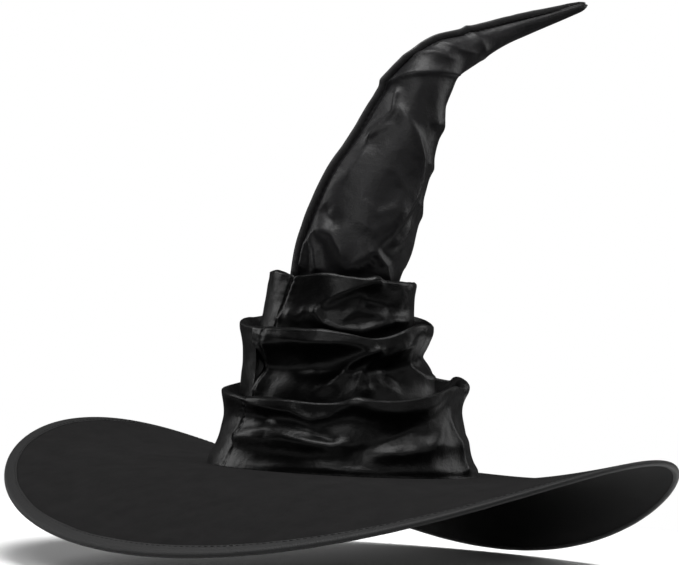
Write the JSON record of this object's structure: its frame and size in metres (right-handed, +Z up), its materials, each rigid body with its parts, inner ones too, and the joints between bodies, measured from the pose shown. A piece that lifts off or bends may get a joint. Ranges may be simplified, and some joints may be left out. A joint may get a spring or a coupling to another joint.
{
  "type": "witch hat",
  "caption": "Black costume witch hat: wide wired brim, crown of three folded satin tucks, and a tall bendable cone with a wired seam and a crooked tip.",
  "frame": {"origin": "centre of the head opening, level with the underside of the brim where it meets the crown", "axes": "+Z up along the head opening's axis; +X to the front, the way the tip points; +Y to the wearer's left; the back seam is at -X"},
  "size_m": [0.5, 0.5, 0.4452],
  "materials": {
    "crown_satin": "glossy black polyester satin over thin foam",
    "brim_cloth": "matte black woven cloth on top of the brim",
    "brim_lining": "matte black cloth under the brim",
    "binding_tape": "black folded binding tape",
    "foam": "stiff grey foam sheet, hidden inside the brim",
    "spring_wire": "bare steel wire, hidden inside the cloth",
    "thread": "black sewing thread",
    "head_lining": "thin dull black lining cloth",
    "sweatband_tape": "ribbed black grosgrain tape",
    "label_cloth": "blank off-white woven label",
    "cap_plastic": "small black plastic end cap"
  },
  "bodies": {
    "hat": {"brim_top_cover": "brim_cloth", "brim_core": "foam", "brim_under_cover": "brim_lining", "brim_binding": "binding_tape", "brim_wire": "spring_wire", "brim_wire_sleeve": "spring_wire", "brim_stitching": "thread", "lower_tier": "crown_satin", "middle_tier": "crown_satin", "upper_tier": "crown_satin", "crown_lining": "head_lining", "lining_top": "head_lining", "sweatband": "sweatband_tape", "sweatband_stitching": "thread", "crown_join_stitching": "thread", "crown_seam_stitching": "thread", "tuck_tacks": "thread", "care_label": "label_cloth", "neck_cloth": "crown_satin"},
    "cone": {"cone_cloth": "crown_satin", "cone_channel": "crown_satin", "cone_wire": "spring_wire", "cone_stitching": "thread", "crook_cloth": "crown_satin", "crook_channel": "crown_satin", "crook_wire": "spring_wire", "wire_cap_bottom": "cap_plastic"},
    "tip": {"tip_cloth": "crown_satin", "tip_channel": "crown_satin", "tip_wire": "spring_wire", "tip_stitching": "thread", "wire_cap_top": "cap_plastic"}
  },
  "joints": [
    {"name": "cone_lean", "type": "hinge", "parent": "hat", "child": "cone", "pos_m": [-0.01, 0, 0.131], "axis": [0, 1, 0], "range_deg": [-12, 12], "deforming": ["neck_cloth"]},
    {"name": "tip_bend", "type": "hinge", "parent": "cone", "child": "tip", "pos_m": [0.069, 0, 0.3135], "axis": [0, 1, 0], "range_deg": [-40, 35], "deforming": ["crook_cloth", "crook_channel", "crook_wire"]}
  ]
}
